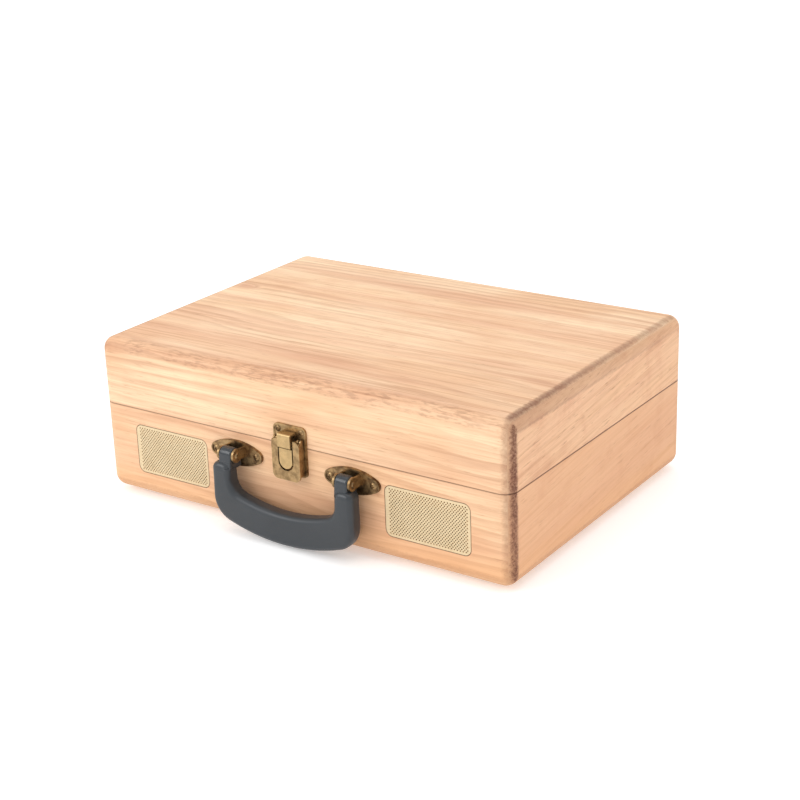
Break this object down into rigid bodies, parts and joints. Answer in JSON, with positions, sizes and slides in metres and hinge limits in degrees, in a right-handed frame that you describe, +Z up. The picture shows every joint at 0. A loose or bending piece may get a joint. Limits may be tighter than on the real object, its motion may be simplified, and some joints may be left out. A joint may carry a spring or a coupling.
{
  "type": "suitcase record player",
  "caption": "Portable turntable in a pine suitcase with hinged lid, front carrying handle, toggle latch and speaker grilles; belt-driven platter, tonearm and controls inside.",
  "frame": {"origin": "middle of the case on the plane its rubber feet stand on", "axes": "+X to the user's right along the front, +Y to the back where the hinges are, +Z up"},
  "size_m": [0.35, 0.2759, 0.1218],
  "materials": {
    "pine": "clear matt lacquer over light pine, edges burnt brown",
    "rubber_black": "matt",
    "antique_bronze": "antiqued, dark in the recesses and rubbed bright on the edges",
    "charcoal_plastic": "fine moulded grain, semi-gloss",
    "gold_mesh": "champagne gold lacquer",
    "speaker_black": "matt black",
    "black_plastic": "fine texture",
    "bright_steel": "bright zinc",
    "satin_aluminium": "satin",
    "mat_felt": "short felt",
    "brass": "turned",
    "board_green": "solder resist",
    "stylus_red": "gloss"
  },
  "bodies": {
    "base": {"base_case": "pine", "feet": "rubber_black", "foot_screws": "bright_steel", "hinge_base_leaves": "antique_bronze", "hinge_pins": "antique_bronze", "hinge_base_screws": "antique_bronze", "latch_plate": "antique_bronze", "plate_screws": "antique_bronze", "lever_pin": "antique_bronze", "bracket_left": "antique_bronze", "bracket_right": "antique_bronze", "handle_pins": "antique_bronze", "bracket_screws": "antique_bronze", "grille_left": "gold_mesh", "grille_right": "gold_mesh", "speaker_left": "speaker_black", "speaker_right": "speaker_black", "deck": "black_plastic", "deck_battens": "pine", "deck_screws": "bright_steel", "spindle_bearing": "brass", "motor": "bright_steel", "drive_belt": "rubber_black", "arm_pillar": "charcoal_plastic", "arm_rest": "charcoal_plastic", "cue_post": "charcoal_plastic", "volume_control": "bright_steel", "headphone_jack": "black_plastic", "adapter_45": "brass", "jack_panel": "black_plastic", "audio_jacks": "brass", "power_inlet": "black_plastic", "circuit_board": "board_green", "lid_bumpers": "rubber_black"},
    "lid": {"lid_case": "pine", "hinge_lid_leaves": "antique_bronze", "hinge_lid_screws": "antique_bronze", "latch_keeper": "antique_bronze", "keeper_screws": "antique_bronze"},
    "carry_handle": {"handle": "charcoal_plastic"},
    "lever": {"latch_lever": "antique_bronze", "link_pin": "antique_bronze"},
    "link": {"latch_link": "antique_bronze"},
    "turntable": {"platter": "satin_aluminium", "slip_mat": "mat_felt", "spindle": "bright_steel"},
    "pulley": {"motor_pulley": "brass"},
    "yoke": {"arm_yoke": "charcoal_plastic", "arm_pin": "bright_steel"},
    "arm": {"tonearm": "satin_aluminium", "counterweight": "black_plastic", "headshell": "charcoal_plastic", "cartridge": "black_plastic", "stylus": "stylus_red"},
    "cue_arm": {"cue_lever": "satin_aluminium"},
    "cue_pad": {"cue_platform": "charcoal_plastic"},
    "speed_switch": {"speed_slider": "satin_aluminium"},
    "stop_switch": {"stop_slider": "satin_aluminium"},
    "knob": {"volume_knob": "satin_aluminium"}
  },
  "joints": [
    {"name": "lid_hinge", "type": "hinge", "parent": "base", "child": "lid", "pos_m": [0, 0.12855, 0.0717], "axis": [-1, 0, 0], "range_deg": [0, 95]},
    {"name": "handle_hinge", "type": "hinge", "parent": "base", "child": "carry_handle", "pos_m": [0.0015, -0.13525, 0.0585], "axis": [-1, 0, 0], "range_deg": [0, 110]},
    {"name": "latch_lever_hinge", "type": "hinge", "parent": "base", "child": "lever", "pos_m": [0, -0.12895, 0.0766], "axis": [-1, 0, 0], "range_deg": [0, 100]},
    {"name": "latch_link_hinge", "type": "hinge", "parent": "lever", "child": "link", "pos_m": [0, -0.12895, 0.062], "axis": [-1, 0, 0], "range_deg": [-90, 0]},
    {"name": "platter_spin", "type": "hinge", "parent": "base", "child": "turntable", "pos_m": [-0.028, -0.004, 0.0735], "axis": [0, 0, -1], "continuous": true},
    {"name": "pulley_spin", "type": "hinge", "parent": "base", "child": "pulley", "pos_m": [-0.08862, -0.04645, 0.0555], "axis": [0, 0, -1], "continuous": true},
    {"name": "tonearm_swing", "type": "hinge", "parent": "base", "child": "yoke", "pos_m": [0.122, 0.084, 0.085], "axis": [0, 0, -1], "range_deg": [0, 42]},
    {"name": "tonearm_lift", "type": "hinge", "parent": "yoke", "child": "arm", "pos_m": [0.122, 0.084, 0.085], "axis": [-1, 0, 0], "range_deg": [0, 6]},
    {"name": "cue_lever_hinge", "type": "hinge", "parent": "base", "child": "cue_arm", "pos_m": [0.149, 0.052, 0.0625], "axis": [-1, 0, 0], "range_deg": [0, 50]},
    {"name": "cue_pad_lift", "type": "slide", "parent": "base", "child": "cue_pad", "axis": [0, 0, 1], "range_m": [0, 0.0045]},
    {"name": "speed_slide", "type": "slide", "parent": "base", "child": "speed_switch", "axis": [0, 1, 0], "range_m": [0, 0.016]},
    {"name": "stop_slide", "type": "slide", "parent": "base", "child": "stop_switch", "axis": [0, 1, 0], "range_m": [0, 0.008]},
    {"name": "volume_turn", "type": "hinge", "parent": "base", "child": "knob", "pos_m": [-0.139, -0.08575, 0.0555], "axis": [0, 0, -1], "range_deg": [0, 300]}
  ],
  "couplings": [
    {"joint": "latch_link_hinge", "follows": "latch_lever_hinge", "ratio": -0.9},
    {"joint": "pulley_spin", "follows": "platter_spin", "ratio": 11.275},
    {"joint": "cue_pad_lift", "follows": "cue_lever_hinge", "m_per_rad": 0.005042}
  ]
}
